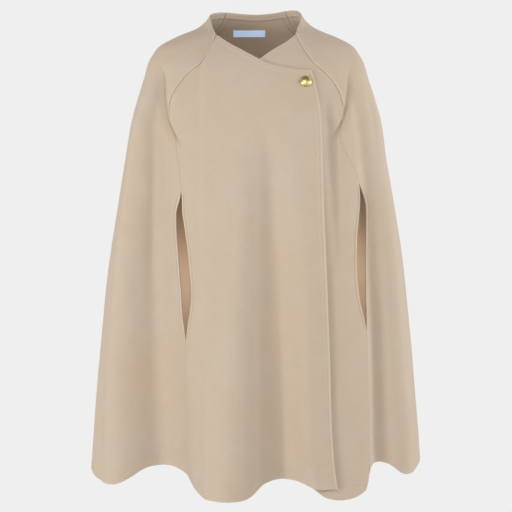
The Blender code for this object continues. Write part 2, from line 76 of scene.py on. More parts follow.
# angle where it starts, angle at the hem, height where it starts, depth at the hem,
# growth (the power of the fall that deepens it), spread (the power that turns it)
FOLDS = {
    "centre flank": (0.3, 0.0, -0.16, 0.004, 0.70, 0.50),
    "centre valley": (4.5, 10.5, -0.16, -0.034, 0.68, 0.50),
    "left front rise": (14, 19.0, -0.16, -0.004, 0.85, 0.60),
    "left front edge": (28, 28, -0.16, -0.006, 1.00, 1.00),
    "left front crest": (38, 37, -0.12, -0.006, 0.90, 1.00),
    "left front shoulder": (45, 45, -0.12, -0.013, 0.80, 1.00),
    "left side valley": (52, 53, -0.06, -0.022, 0.60, 1.00),
    "left arm crest": (63, 62.5, -0.05, 0.013, 0.60, 0.80),
    "left outer side": (78, 76, -0.05, 0.013, 1.00, 1.00),
    "left side": (96, 91, -0.05, 0.018, 1.05, 1.00),
    "left blade valley": (112, 118, -0.10, -0.040, 1.10, 1.00),
    "left blade crest": (134, 140, -0.10, 0.030, 1.10, 1.00),
    "left back valley": (152, 158, -0.16, -0.034, 1.10, 1.00),
    "back crest": (178, 183, -0.16, 0.030, 1.10, 1.00),
    "right back valley": (206, 208, -0.14, -0.038, 1.10, 1.00),
    "right blade crest": (228, 229, -0.10, 0.032, 1.10, 1.00),
    "right blade valley": (246, 246, -0.08, -0.042, 1.10, 1.00),
    "right side": (264, 269, -0.05, 0.018, 1.05, 1.00),
    "right outer side": (281, 294, -0.05, 0.018, 0.90, 0.60),
    "right arm crest": (293, 307.5, -0.05, 0.024, 0.55, 0.50),
    "right side valley": (303, 320, -0.06, -0.046, 0.55, 0.60),
    "right front shoulder": (322, 331, -0.12, -0.040, 0.80, 0.60),
    "right front rise": (336, 341, -0.18, 0.006, 0.90, 1.00),
    "right front crest": (356.0, 350.0, -0.16, 0.038, 0.70, 0.50),
}

# Seams and front edges from the neckline down: height, angle
RIGHT_SEAM = np.array([
    (0.000, -37.0), (-0.006, -33.5), (-0.017, -28.7), (-0.031, -26.7),
    (-0.048, -27.7), (-0.063, -30.7), (-0.075, -35.0), (-0.094, -39.1),
    (-0.126, -43.2), (-0.172, -40.9), (-0.198, -37.5), (-0.234, -34.6),
    (-0.29, -32.0), (-0.35, -31.0), (-0.41, -29.2), (-0.47, -27.6),
    (-0.535, -27.2), (-0.6, -26.7), (-0.69, -25.9), (-0.75, -25.4),
    (-0.815, -23.8), (-0.85, -22.6),
])
LEFT_SEAM = np.array([
    (0.000, 37.0), (-0.006, 33.0), (-0.017, 29.6), (-0.028, 28.1),
    (-0.045, 29.1), (-0.064, 32.4), (-0.078, 36.8), (-0.094, 40.3),
    (-0.13, 42.8), (-0.171, 40.3), (-0.198, 38.4), (-0.215, 39.5),
    (-0.235, 42.1), (-0.262, 45.5), (-0.28, 46.9), (-0.31, 48.2),
    (-0.345, 47.4), (-0.398, 45.8), (-0.434, 45.2), (-0.48, 44.9),
    (-0.54, 44.9), (-0.64, 44.5), (-0.72, 44.3), (-0.85, 44.4),
])
RIGHT_BACK_SEAM = np.array([
    (0.04, 226.5), (0.000, 222.0), (-0.03, 217.5), (-0.06, 215.5),
    (-0.1, 217.5), (-0.15, 220.5), (-0.25, 220.0), (-0.85, 217.0),
])
LEFT_BACK_SEAM = RIGHT_BACK_SEAM * (1.0, -1.0) + (0.0, 360.0)
LAP_EDGE = np.array([
    (0.000, 14.0), (-0.03, 19.0), (-0.055, 25.5), (-0.074, 28.1),
    (-0.095, 29.2), (-0.118, 29.5), (-0.188, 28.8), (-0.244, 28.1),
    (-0.304, 27.4), (-0.444, 26.9), (-0.6, 26.9), (-0.728, 27.1),
    (-0.78, 27.7), (-0.828, 28.8), (-0.85, 29.4),
])
UNDER_EDGE = np.array([
    (-0.06, -25.0), (-0.1, -23.5), (-0.144, -21.9), (-0.3, -18.8),
    (-0.48, -16.6), (-0.85, -15.0),
])
# height, how far the side panel's lip and the front panel's lip stand off the seam
RIGHT_SLIT = np.array([
    (-0.289, 0.0, 0.0), (-0.304, 0.9, 0.2), (-0.330, 2.7, 0.5), (-0.350, 2.8, 1.4),
    (-0.380, 2.8, 2.1), (-0.425, 2.7, 2.7), (-0.470, 2.5, 2.9), (-0.505, 2.0, 2.2),
    (-0.535, 1.0, 1.0), (-0.562, 0.0, 0.0),
])
LEFT_SLIT = np.array([
    (-0.277, 0.0, 0.0), (-0.290, 1.3, 0.7), (-0.309, 2.7, 1.9), (-0.336, 3.3, 3.1),
    (-0.363, 3.1, 3.9), (-0.398, 2.9, 4.1), (-0.434, 2.2, 4.2), (-0.470, 1.6, 3.8),
    (-0.500, 1.0, 2.7), (-0.525, 0.8, 1.1), (-0.548, 0.0, 0.0),
])
# Neckline and hem: angle, height
NECK_LAP = [(6.3, -0.0612), (10.8, -0.0657), (16, -0.0691), (22.6, -0.0722), (30, -0.0745)]
NECK_RIGHT = np.array([
    (-180, 0.0305), (-160, 0.032), (-135, 0.0345), (-110, 0.033),
    (-90, 0.029), (-75, 0.0235), (-58, 0.0135), (-48, 0.006),
    (-39.5, -0.001), (-33.5, -0.006), (-27, -0.0125), (-17.6, -0.0233),
    (-9.5, -0.0347), (1, -0.0526),
] + NECK_LAP)
NECK_LEFT = np.array([(-angle, height) for angle, height in NECK_LAP[::-1]] + [
    (1, -0.0526), (8.9, -0.0359), (15, -0.0265),
    (22.1, -0.0175), (33, -0.006), (47, 0.007), (58, 0.015),
    (75, 0.026), (90, 0.033), (110, 0.0375), (135, 0.037),
    (160, 0.0325), (180, 0.0305),
])
HEM = np.array([
    (-180, -0.832), (-152, -0.826), (-131, -0.836), (-112, -0.828),
    (-92, -0.833), (-80, -0.84), (-70, -0.844), (-60, -0.84),
    (-55, -0.8375), (-52, -0.8355), (-50, -0.831), (-48, -0.823),
    (-46, -0.8135), (-44.5, -0.8085), (-42, -0.8065), (-38, -0.8055),
    (-33, -0.8065), (-28.5, -0.81), (-25.7, -0.814), (-23, -0.827),
    (-20.5, -0.836), (-17.5, -0.8405), (-13, -0.839), (-9, -0.8385),
    (-5, -0.8395), (-3, -0.838), (-1.5, -0.8345), (0.2, -0.827),
    (1.8, -0.82), (4, -0.817), (8, -0.8165), (12, -0.818),
    (15.5, -0.818), (18, -0.821), (20.5, -0.828), (25, -0.832),
    (30, -0.835),
])
HEM_LEFT = np.array([
    (-20, -0.815), (6, -0.812), (14, -0.815), (18, -0.822),
    (20, -0.829), (22, -0.8375), (24, -0.846), (26.5, -0.852),
    (29.5, -0.856), (33, -0.8565), (37.5, -0.8535), (40.5, -0.849),
    (42.4, -0.844), (43.5, -0.834), (44.5, -0.8175), (45.7, -0.8075),
    (47.5, -0.8035), (50.5, -0.8028), (54.3, -0.804), (56.5, -0.808),
    (58.2, -0.815), (60, -0.8245), (61.8, -0.829), (64.5, -0.831),
    (69, -0.833), (76, -0.8345), (81, -0.832), (86, -0.827),
    (100, -0.824), (118, -0.822), (140, -0.834), (158, -0.826),
    (180, -0.832),
])
WRAP = np.array([(360.0, 0.0)])
NECK_BACK = np.vstack([NECK_LEFT[NECK_LEFT[:, 0] > 100], NECK_RIGHT[1:5] + WRAP])
HEM_BACK = np.vstack([HEM_LEFT[HEM_LEFT[:, 0] > 100], HEM[1:5] + WRAP])
# height, stand-off of the lapping front's edge, height of the swell beside it
LAP_STAND_OFF = np.array([
    (-0.070, 0.0005, 0.0000), (-0.095, 0.0000, 0.0000), (-0.150, 0.0020, 0.0000),
    (-0.250, 0.0042, 0.0000), (-0.400, 0.0036, 0.0020), (-0.550, 0.0030, 0.0050),
    (-0.700, 0.0028, 0.0064), (-0.850, 0.0030, 0.0070),
])
# degrees: how wide the stand-off and the ramp up to the lap are, where the swell lies
STAND_OFF_WIDTH = 8.0
LAP_RAMP = 5.0
SWELL_INSET, SWELL_WIDTH = 7.5, 3.6

# Soft creases and ridges: (angle, height) points from the top down, lift in mm (below zero
# it sinks), widths in mm on the side of lower and of higher angles, shares of the length
# over which it begins and ends, and how strongly the painted shade of the groove mark follows it.
CREASES = {
    "right arm crease": (
        [(-64, -0.050), (-55.4, -0.0756), (-50.9, -0.108), (-46.4, -0.142), (-41.7, -0.172),
         (-37.6, -0.192), (-33.8, -0.209), (-32.8, -0.220)],
        -12.5, (12, 3.4), (0.40, 0.30), 0.80),
    "left arm crease": (
        [(64.5, -0.048), (54.6, -0.0756), (49.4, -0.108), (44.5, -0.137), (39.7, -0.171),
         (36.4, -0.189), (33.6, -0.203)],
        -6.5, (3.4, 8.0), (0.50, 0.20), 0.35),
    "right arm valley": (
        [(-57, -0.105), (-54, -0.170), (-50.5, -0.240), (-48.5, -0.320), (-46.5, -0.420),
         (-44, -0.560)],
        -3.8, (13, 13), (0.40, 0.50), 0.0),
    "left arm valley": (
        [(71, -0.085), (65.5, -0.140), (63.0, -0.190), (61, -0.250)],
        -4.5, (12, 12), (0.35, 0.45), 0.0),
    "front edge trough": (
        [(35.5, -0.080), (35, -0.130), (34.5, -0.185), (34, -0.234), (33.5, -0.305),
         (33, -0.400), (32, -0.500)],
        -10.0, (15, 14), (0.25, 0.60), 0.0),
    "left side trough": (
        [(52, -0.350), (51.5, -0.403), (51, -0.488), (50.7, -0.580), (50.5, -0.685),
         (50.2, -0.760), (50.0, -0.900)],
        -2.6, (19, 18), (0.25, 0.30), 0.0),
    "left side ridge": (
        [(64, -0.200), (61.0, -0.300), (59.5, -0.400), (58.5, -0.500), (58.0, -0.620),
         (57.5, -0.760), (57.5, -0.900)],
        4.6, (20, 26), (0.25, 0.30), 0.0),
    "left outline ridge": (
        [(80, -0.080), (82, -0.200), (83, -0.400), (83, -0.600), (83, -0.900)],
        2.2, (34, 40), (0.15, 0.03), 0.0),
}
CREASE_POINTS = 60
CREASE_SHADE_WIDTH = 4.2 * MM

# The cloth's grid: distances from an edge, then an even step.
EDGE_STEPS = MM * np.array([
    0, .12, .35, .7, 1.1, 1.6, 2.2, 3.0, 3.8, 4.6, 5.4, 6.4, 7.6, 8.8, 9.6, 10.4,
    11.4, 13.0, 15.5,
])
STEP = 4.2 * MM
GRID_TOP, GRID_BOTTOM, GRID_PITCH = 0.048, -0.858, 0.004
EDGE_SHARE = 0.36          # the most of a width that the fine steps of one edge take up
STRIP_DROP = 0.03          # how far below the neckline a grid without a hem ends
FAR = 1.0

# The cloth's uneven waves and ripples, and the zones where edges are pressed and rounded.
WAVE_SIZES, WAVE_HEIGHT = (0.31, 0.22, 0.16, 0.12), 1.1 * MM
RIPPLE_SIZES, RIPPLE_HEIGHT = (0.07, 0.05, 0.04, 0.03), 0.22 * MM
SIDE_ZONE, END_ZONE = 0.024, 0.03
# Seams show fully from the neck down to the first level, and faintly below the second.
SEAM_CLEAR_TO, SEAM_FAINT_FROM, SEAM_FAINT = -0.190, -0.50, 0.12
INNER_SHIFT = (0.7, 0.3)   # moves the inner face's cloth pattern away from the outer one's

CAMERA_LENS, CAMERA_SENSOR = 98.0, 36.0
CAMERA_PLACE, CAMERA_AIM = (0.0, -2.65, -0.03), (0.0, 0.0, -0.4285)


# ---------- the shape

def arrays(*values):
    return np.broadcast_arrays(*(np.asarray(value, float) for value in values))


def hermite(t, step, low, high, slope_low, slope_high):
    """A cubic between two values with given slopes, where t runs from 0 to 1."""
    start = (2 * t**3 - 3 * t**2 + 1) * low + (t**3 - 2 * t**2 + t) * step * slope_low
    end = (3 * t**2 - 2 * t**3) * high + (t**3 - t**2) * step * slope_high
    return start + end


def along(value, table, column=1):
    """A smooth curve through the rows of a table, read at the given value."""
    rows = table[np.argsort(table[:, 0])]
    xs, ys = rows[:, 0], rows[:, column]
    slopes = np.gradient(ys, xs)
    value = np.clip(value, xs[0], xs[-1])
    i = np.clip(np.searchsorted(xs, value) - 1, 0, len(xs) - 2)
    step = xs[i + 1] - xs[i]
    t = (value - xs[i]) / step
    return hermite(t, step, ys[i], ys[i + 1], slopes[i], slopes[i + 1])


def ease(share):
    share = np.clip(share, 0.0, 1.0)
    return share * share * (3 - 2 * share)


def bump(distance, centre, width):
    return np.exp(-((distance - centre) / width) ** 2)


def bump_mm(distance, centre, width):
    return bump(distance, centre * MM, width * MM)


def fold_depth(angle, height):
    turn = np.mod(angle, 360.0)
    angles, depths = [], []
    for start_angle, hem_angle, start, depth, growth, spread in FOLDS.values():
        fall = np.clip((start - height) / (start - HEM_LEVEL), 0.0, 1.05)
        angles.append(start_angle + (hem_angle - start_angle) * fall**spread)
        begun = np.clip(fall / FOLD_START, 0.0, 1.0)
        depths.append(depth * fall**growth * begun * (2.0 - begun))
    angles = [a - 360.0 for a in angles[-2:]] + angles + [a + 360.0 for a in angles[:2]]
    depths = depths[-2:] + depths + depths[:2]
    slopes = [(depths[i + 1] - depths[i - 1]) / (angles[i + 1] - angles[i - 1])
              for i in range(1, len(angles) - 1)]
    total = np.zeros(np.broadcast(angle, height).shape)
    for i in range(1, len(angles) - 2):
        gap = angles[i + 1] - angles[i]
        share = (turn - angles[i]) / gap
        here = hermite(np.clip(share, 0.0, 1.0), gap, depths[i], depths[i + 1],
                       slopes[i - 1], slopes[i])
        total = np.where((share >= 0.0) & (share < 1.0), here, total)
    return total


def ring_point(angle, height):
    wide, front, back, middle, power = (along(height, RINGS, c) for c in range(1, 6))
    side, ahead = np.sin(np.radians(angle)), np.cos(np.radians(angle))
    reach = (np.abs(side)**power + np.abs(ahead)**power) ** (-1.0 / power)
    depth = np.where(ahead > 0.0, front, back)
    return wide * side * reach, middle - depth * ahead * reach


def cape_point(angle, height):
    """The cape's outer face, with its folds but without creases."""
    angle, height = arrays(angle, height)
    small = 0.1
    x0, y0 = ring_point(angle - small, height)
    x1, y1 = ring_point(angle + small, height)
    length = np.hypot(x1 - x0, y1 - y0)
    x, y = ring_point(angle, height)
    out = fold_depth(angle, height)
    return np.stack([x + (y1 - y0) / length * out, y - (x1 - x0) / length * out, height], -1)


def cape_normal(angle, height):
    angle, height = arrays(angle, height)
    across = cape_point(angle + 0.5, height) - cape_point(angle - 0.5, height)
    up = cape_point(angle, height + 0.004) - cape_point(angle, height - 0.004)
    normal = np.cross(across, up)
    return normal / norm(normal, axis=-1, keepdims=True)


def degrees_of(distance, angle, height):
    across = cape_point(angle + 0.5, height) - cape_point(angle - 0.5, height)
    return distance / norm(across, axis=-1)


def lap_height(angle, height):
    under = along(height, UNDER_EDGE)
    rise = ease((angle - (under - LAP_RAMP)) / (LAP_RAMP - 1.0))
    edge = along(height, LAP_EDGE)
    near = np.clip((angle - (edge - STAND_OFF_WIDTH)) / STAND_OFF_WIDTH, 0.0, 1.0)
    swell = along(height, LAP_STAND_OFF, 2) * bump(angle, edge - SWELL_INSET, SWELL_WIDTH)
    return LAP * rise + along(height, LAP_STAND_OFF) * near * near + swell


def seam_edge(seam, side, slit=None, lip=1, turn=0.0, clear=0.0):
    """An edge of a panel along a seam or a free edge, opened along a slit."""
    def edge(height):
        angle = along(height, seam)
        opened = np.clip(along(height, slit, lip), 0.0, None) if slit is not None else 0.0
        if clear:
            opened = opened + degrees_of(clear, angle, height)
        return angle + turn - side * opened
    return edge


def grid(edges, neck, hem=None, drops=None, step=STEP, steps=EDGE_STEPS):
    """Angles, heights and cut coordinates of a sheet between two edges.

    Columns and rows lie at set distances from the edges and evenly between them.
    """
    levels = np.arange(GRID_TOP, GRID_BOTTOM, -GRID_PITCH)
    low, high = edges[0](levels), edges[1](levels)
    fraction = np.linspace(0.0, 1.0, 201)
    fans = low[:, None] + (high - low)[:, None] * fraction
    points = cape_point(fans, levels[:, None])
    lengths = norm(np.diff(points, axis=1), axis=-1)
    lengths = np.hstack([np.zeros((len(levels), 1)), np.cumsum(lengths, axis=1)])
    widest = lengths[:, -1].max()
    inner = max(int((widest - 2 * steps[-1]) / step), 6)
    middle = np.linspace(0.0, 1.0, inner + 1)[1:-1]
    columns = 2 * len(steps) + len(middle)
    spread = np.empty((len(levels), columns))
    angle_table = np.empty_like(spread)
    for i, width in enumerate(lengths[:, -1]):
        near = steps * min(1.0, EDGE_SHARE * width / steps[-1])
        rest = near[-1] + (width - 2 * near[-1]) * middle
        spread[i] = np.concatenate([near, rest, width - near[::-1]])
        angle_table[i] = np.interp(spread[i], lengths[i], fans[i])

    def read(table, heights, column):
        return np.interp(heights, levels[::-1], table[::-1, column])

    def angles_at(heights):
        return np.array([read(angle_table, h, j) for j, h in enumerate(heights)])

    top = np.full(columns, -0.02)
    bottom = np.full(columns, HEM_LEVEL)
    for _ in range(60):
        top = 0.5 * top + 0.5 * along(angles_at(top), neck)
        if hem is not None:
            bottom = 0.5 * bottom + 0.5 * along(angles_at(bottom), hem)
        else:
            bottom = top - STRIP_DROP
    fall = np.linspace(0.0, 1.0, 500) ** 1.5
    if drops is None:
        longest = 0.0
        for j in range(0, columns, 8):
            h = top[j] + (bottom[j] - top[j]) * fall
            p = cape_point(read(angle_table, h, j), h)
            longest = max(longest, norm(np.diff(p, axis=0), axis=-1).sum())
        down = np.linspace(0.0, 1.0, int((longest - 2 * steps[-1]) / step) + 1)[1:-1]
    rows = len(drops) if drops is not None else 2 * len(steps) + len(down)
    angles, heights = np.empty((rows, columns)), np.empty((rows, columns))
    u, v = np.empty_like(angles), np.empty_like(angles)
    for j in range(columns):
        h = top[j] + (bottom[j] - top[j]) * fall
        p = cape_point(read(angle_table, h, j), h)
        run = np.concatenate([[0.0], np.cumsum(norm(np.diff(p, axis=0), axis=-1))])
        if drops is None:
            rest = steps[-1] + (run[-1] - 2 * steps[-1]) * down
            wanted = np.concatenate([steps, rest, run[-1] - steps[::-1]])
        else:
            wanted = np.asarray(drops)
        heights[:, j] = np.interp(wanted, run, h)
        angles[:, j] = read(angle_table, heights[:, j], j)
        u[:, j] = read(spread, heights[:, j], j)
        v[:, j] = wanted
    return angles, heights, u, v


def normals_of(points):
    across, down = np.gradient(points, axis=1), np.gradient(points, axis=0)
    normal = np.cross(down, across)
    return normal / np.maximum(norm(normal, axis=-1, keepdims=True), 1e-12)


def distance_to(line, points, chosen):
    """Distance from the chosen points to a line, and where along it they are nearest."""
    shares = (0.0, 0.25, 0.5, 0.75)
    fine = np.concatenate([line[:-1] + (line[1:] - line[:-1]) * share for share in shares])
    at = np.concatenate([np.arange(len(line) - 1) + share for share in shares])
    tree = kdtree.KDTree(len(fine))
    for i, p in enumerate(fine):
        tree.insert(p, i)
    tree.balance()
    distance = np.full(points.shape[:2], FAR)
    place = np.zeros(points.shape[:2])
    for i, j in zip(*np.nonzero(chosen)):
        _, k, distance[i, j] = tree.find(points[i, j])
        place[i, j] = at[k]
    return distance, place


def waves(u, v, seed, sizes, height):
    """Smooth uneven relief: a sum of sines with random directions and phases."""
    draw = np.random.default_rng(seed)
    total = np.zeros_like(u)
    for size in sizes:
        turn, phase = draw.uniform(0, 2 * np.pi, 2)
        length = size * draw.uniform(0.8, 1.25)
        total += np.sin(2 * np.pi * (u * np.cos(turn) + v * np.sin(turn)) / length + phase)
    return total * height / len(sizes)


# ---------- materials

class Nodes:
    """Short calls for building a node material."""

    def __init__(self, name):
        self.material = bpy.data.materials.new(name)
        self.material.use_nodes = True
        self.tree = self.material.node_tree
        self.shader = self.tree.nodes["Principled BSDF"]

    def add(self, kind, values=None, **settings):
        node = self.tree.nodes.new("ShaderNode" + kind)
        for key, value in settings.items():
            setattr(node, key, value)
        for key, value in (values or {}).items():
            node.inputs[key].default_value = value
        return node

    def link(self, out, into):
        self.tree.links.new(out, into)

    def feed(self, name, out):
        self.link(out, self.shader.inputs[name])

    def cut(self):
        return self.add("UVMap", uv_map="cut").outputs["UV"]

    def scaled(self, vector, scale):
        node = self.add("Mapping", {"Scale": scale})
        self.link(vector, node.inputs["Vector"])
        return node.outputs["Vector"]

    def noise(self, vector, scale, detail=2.0, roughness=0.5):
        node = self.add("TexNoise",
                        {"Scale": scale, "Detail": detail, "Roughness": roughness})
        self.link(vector, node.inputs["Vector"])
        return node.outputs["Fac"]

    def ramp(self, value, low, high, to_low, to_high):
        node = self.add("MapRange", {
            "From Min": low, "From Max": high, "To Min": to_low, "To Max": to_high})
        self.link(value, node.inputs["Value"])
        return node.outputs["Result"]

    def put(self, node, values):
        for number, value in values.items():
            if isinstance(value, (int, float, tuple)):
                node.inputs[number].default_value = value
            else:
                self.link(value, node.inputs[number])
        return node

    def math(self, operation, a, b):
        return self.put(self.add("Math", operation=operation), {0: a, 1: b}).outputs[0]

    def mix(self, share, a, b):
        return self.put(self.add("Mix", data_type="RGBA"), {0: share, 6: a, 7: b}).outputs[2]

    def attribute(self, name):
        return self.add("Attribute", attribute_name=name).outputs["Fac"]

    def bumps(self, height, strength, distance):
        node = self.add("Bump", {"Strength": strength, "Distance": distance})
        self.link(height, node.inputs["Height"])
        self.feed("Normal", node.outputs["Normal"])

    def set(self, **values):
        for key, value in values.items():
            self.shader.inputs[key.replace("_", " ")].default_value = value


def toned(colour, *shares):
    return tuple(c * share for c, share in zip(colour, shares)) + (1.0,)


def wool(name, deep, light):
    """Brushed double-faced wool: a short matt nap over a felted ground."""
    n = Nodes(name)
    uv = n.cut()
    fibres = n.noise(n.scaled(uv, (1.0, 0.45, 1.0)), 980.0, 3.0, 0.65)
    tufts = n.noise(n.scaled(uv, (1.0, 0.7, 1.0)), 430.0, 2.0, 0.55)
    clouds = n.noise(uv, 26.0, 2.0, 0.5)
    wash = n.noise(uv, 6.5, 1.0, 0.5)
    nap = n.math("ADD", n.math("MULTIPLY", fibres, 0.55), n.math("MULTIPLY", tufts, 0.45))
    tone = n.math("ADD", nap, n.math("MULTIPLY", clouds, 0.16))
    cloth = n.mix(n.ramp(tone, 0.36, 0.80, 0.0, 1.0), deep, light)
    warm = n.mix(n.ramp(wash, 0.35, 0.65, 0.0, 0.5), cloth,
                 n.mix(0.5, cloth, toned(deep, 1.16, 1.03, 0.90)))
    # The groove mark paints a darker colour into creases, seam lines, edges, slit lips and stitch
    # lines: painted shade.
    painted_shade = n.mix(n.attribute("groove"), warm, toned(deep, 0.50, 0.45, 0.40))
    # The rim mark paints a lighter colour along rolled edges, seam ridges and slit lips and over
    # the neck turn-in: painted highlight.
    n.feed("Base Color", n.mix(n.attribute("rim"), painted_shade, toned(light, 1.08, 1.06, 1.02)))
    n.feed("Roughness", n.ramp(nap, 0.3, 0.7, 0.86, 0.98))
    n.set(Specular_IOR_Level=0.22, Sheen_Weight=0.30, Sheen_Roughness=0.42,
          Sheen_Tint=(1.0, 0.95, 0.88, 1.0))
    n.bumps(nap, 0.55, 0.5 * MM)
    return n.material


def satin(name):
    """Woven satin tape with a fine weft rib."""
    n = Nodes(name)
    uv = n.cut()
    rib = n.add("TexWave", {"Scale": 1500.0, "Distortion": 0.6, "Detail": 1.0},
                wave_type="BANDS", bands_direction="Y")
    n.link(uv, rib.inputs["Vector"])
    slub = n.noise(n.scaled(uv, (0.12, 1.0, 1.0)), 2600.0, 2.0)
    tone = n.math("ADD", n.math("MULTIPLY", rib.outputs["Fac"], 0.4), n.math("MULTIPLY", slub, 0.6))
    colour = n.mix(tone, (0.62, 0.76, 0.94, 1.0), (0.76, 0.87, 0.98, 1.0))
    # The groove mark paints shade along the folds at the ends.
    n.feed("Base Color", n.mix(n.attribute("groove"), colour, (0.30, 0.34, 0.42, 1.0)))
    n.feed("Roughness", n.ramp(slub, 0.3, 0.7, 0.42, 0.58))
    # The emission makes the label glow faintly blue: painted light.
    n.set(Specular_IOR_Level=0.45, Sheen_Weight=0.15, Sheen_Roughness=0.3,
          Anisotropic=0.4, Emission_Color=(0.42, 0.66, 1.0, 1.0), Emission_Strength=0.40)
    n.bumps(tone, 0.35, 0.15 * MM)
    return n.material


def gilt(name):
    """Polished gilt brass, a little scuffed on the crown, with painted shade in the recesses."""
    n = Nodes(name)
    place = n.add("TexCoord").outputs["Object"]
    scuff = n.noise(place, 900.0, 4.0, 0.65)
    patch = n.noise(place, 240.0, 2.0)
    bright = n.mix(n.ramp(patch, 0.35, 0.65, 0.0, 1.0),
                   (0.90, 0.68, 0.27, 1.0), (1.0, 0.82, 0.40, 1.0))
    # The groove mark paints shade into the recesses, the hollows between flutes and beads, and the
    # shank.
    n.feed("Base Color", n.mix(n.attribute("groove"), bright, (0.42, 0.27, 0.09, 1.0)))
    n.feed("Roughness", n.ramp(scuff, 0.35, 0.7, 0.30, 0.48))
    n.set(Metallic=1.0)
    n.bumps(scuff, 0.12, 0.1 * MM)
    return n.material


def thread(name, colour):
    """Twisted silk thread."""
    n = Nodes(name)
    uv = n.cut()
    twist = n.add("TexWave", {"Scale": 900.0, "Distortion": 0.3},
                  wave_type="BANDS", bands_direction="DIAGONAL")
    n.link(uv, twist.inputs["Vector"])
    n.feed("Base Color", n.mix(twist.outputs["Fac"], toned(colour, 0.72, 0.72, 0.72), colour))
    n.set(Roughness=0.62, Sheen_Weight=0.2, Sheen_Roughness=0.4)
    n.bumps(twist.outputs["Fac"], 0.4, 0.08 * MM)
    return n.material


# ---------- meshes

scene = bpy.context.scene


def add_object(name, data):
    made = bpy.data.objects.new(name, data)
    scene.collection.objects.link(made)
    return made


def make_object(name, points, faces, uvs, slot, marks=None):
    """An object with smooth faces, cut coordinates and marks kept on its points."""
    mesh = bpy.data.meshes.new(name)
    mesh.from_pydata([tuple(p) for p in points], [], faces)
    layer = mesh.uv_layers.new(name="cut")
    corners = np.empty(len(mesh.loops), np.int32)
    mesh.loops.foreach_get("vertex_index", corners)
    layer.data.foreach_set("uv", np.asarray(uvs, np.float32)[corners].ravel())
    for key, values in (marks or {}).items():
        found = mesh.attributes.new(key, "FLOAT", "POINT")
        found.data.foreach_set("value", np.asarray(values, np.float32))
    mesh.polygons.foreach_set("use_smooth", np.ones(len(mesh.polygons), bool))
    mesh.materials.append(slot)
    mesh.update()
    return add_object(name, mesh)


def sheet_object(name, centre, normal, above, below, u, v, slot, marks):
    """Closes two grids of points, above and below a middle face, into one sheet.

    They share the points of their border. Each mark has values for both faces.
    """
    outer = centre + normal * above[..., None]
    inner = centre - normal * below[..., None]
    rows, columns = u.shape
    number_out = np.arange(rows * columns).reshape(rows, columns)
    inside = np.zeros((rows, columns), bool)
    inside[1:-1, 1:-1] = True
    number_in = number_out.copy()
    number_in[inside] = rows * columns + np.arange(inside.sum())
    points = np.vstack([outer.reshape(-1, 3), inner[inside]])
    cut = np.stack([u, v], -1)
    uvs = np.vstack([cut.reshape(-1, 2), cut[inside] + INNER_SHIFT])
    marks = {key: np.concatenate([over.ravel(), under[inside]])
             for key, (over, under) in marks.items()}

    def quads(numbers, flip):
        a, b = numbers[:-1, :-1], numbers[:-1, 1:]
        c, d = numbers[1:, 1:], numbers[1:, :-1]
        order = (a, b, c, d) if flip else (a, d, c, b)
        return np.stack(order, -1).reshape(-1, 4).tolist()

    faces = quads(number_out, False) + quads(number_in, True)
    return make_object(name, points, faces, uvs, slot, marks)


def round_edge(distance, radius):
    """The share of the half thickness that a rounded edge leaves at a distance from it."""
    return np.sqrt(1.0 - np.clip(1.0 - distance / radius, 0.0, 1.0) ** 2)


def crease_depth(points, angles):
    """How far the creases and ridges move the cloth at each point, and the painted shade along
    them.
    """
    total, painted_crease_shade = np.zeros(angles.shape), np.zeros(angles.shape)
    for line, depth, widths, (rise, fall), shade in CREASES.values():
        depth, widths = depth * MM, [width * MM for width in widths]
        table = np.array(line, float)
        level = np.linspace(table[0, 1], table[-1, 1], CREASE_POINTS)
        angle = along(level, table[:, ::-1])
        path = cape_point(angle, level)
        along_line = np.linspace(0.0, 1.0, CREASE_POINTS)
        fade = ease(along_line / rise) * ease((1.0 - along_line) / fall)
        box_low, box_high = path.min(0) - 3 * max(widths), path.max(0) + 3 * max(widths)
        near = ((points > box_low) & (points < box_high)).all(-1)
        distance, place = distance_to(path, points, near)
        number = np.arange(CREASE_POINTS)
        strength = np.interp(place, number, fade)
        beyond = angles - np.interp(place, number, angle) > 0.0
        width = np.where(beyond, widths[1], widths[0])
        total += np.where(near, depth * strength * bump(distance, 0.0, width), 0.0)
        # Painted shade along the crease, carried on by the groove mark.
        if shade:
            painted_shade = shade * strength * bump(distance, 0.0, np.minimum(width, CREASE_SHADE_WIDTH))
            painted_crease_shade = np.maximum(painted_crease_shade, np.where(near, painted_shade, 0.0))
    return total, painted_crease_shade


def mark(layer, values):
    np.maximum(layer, values, out=layer)


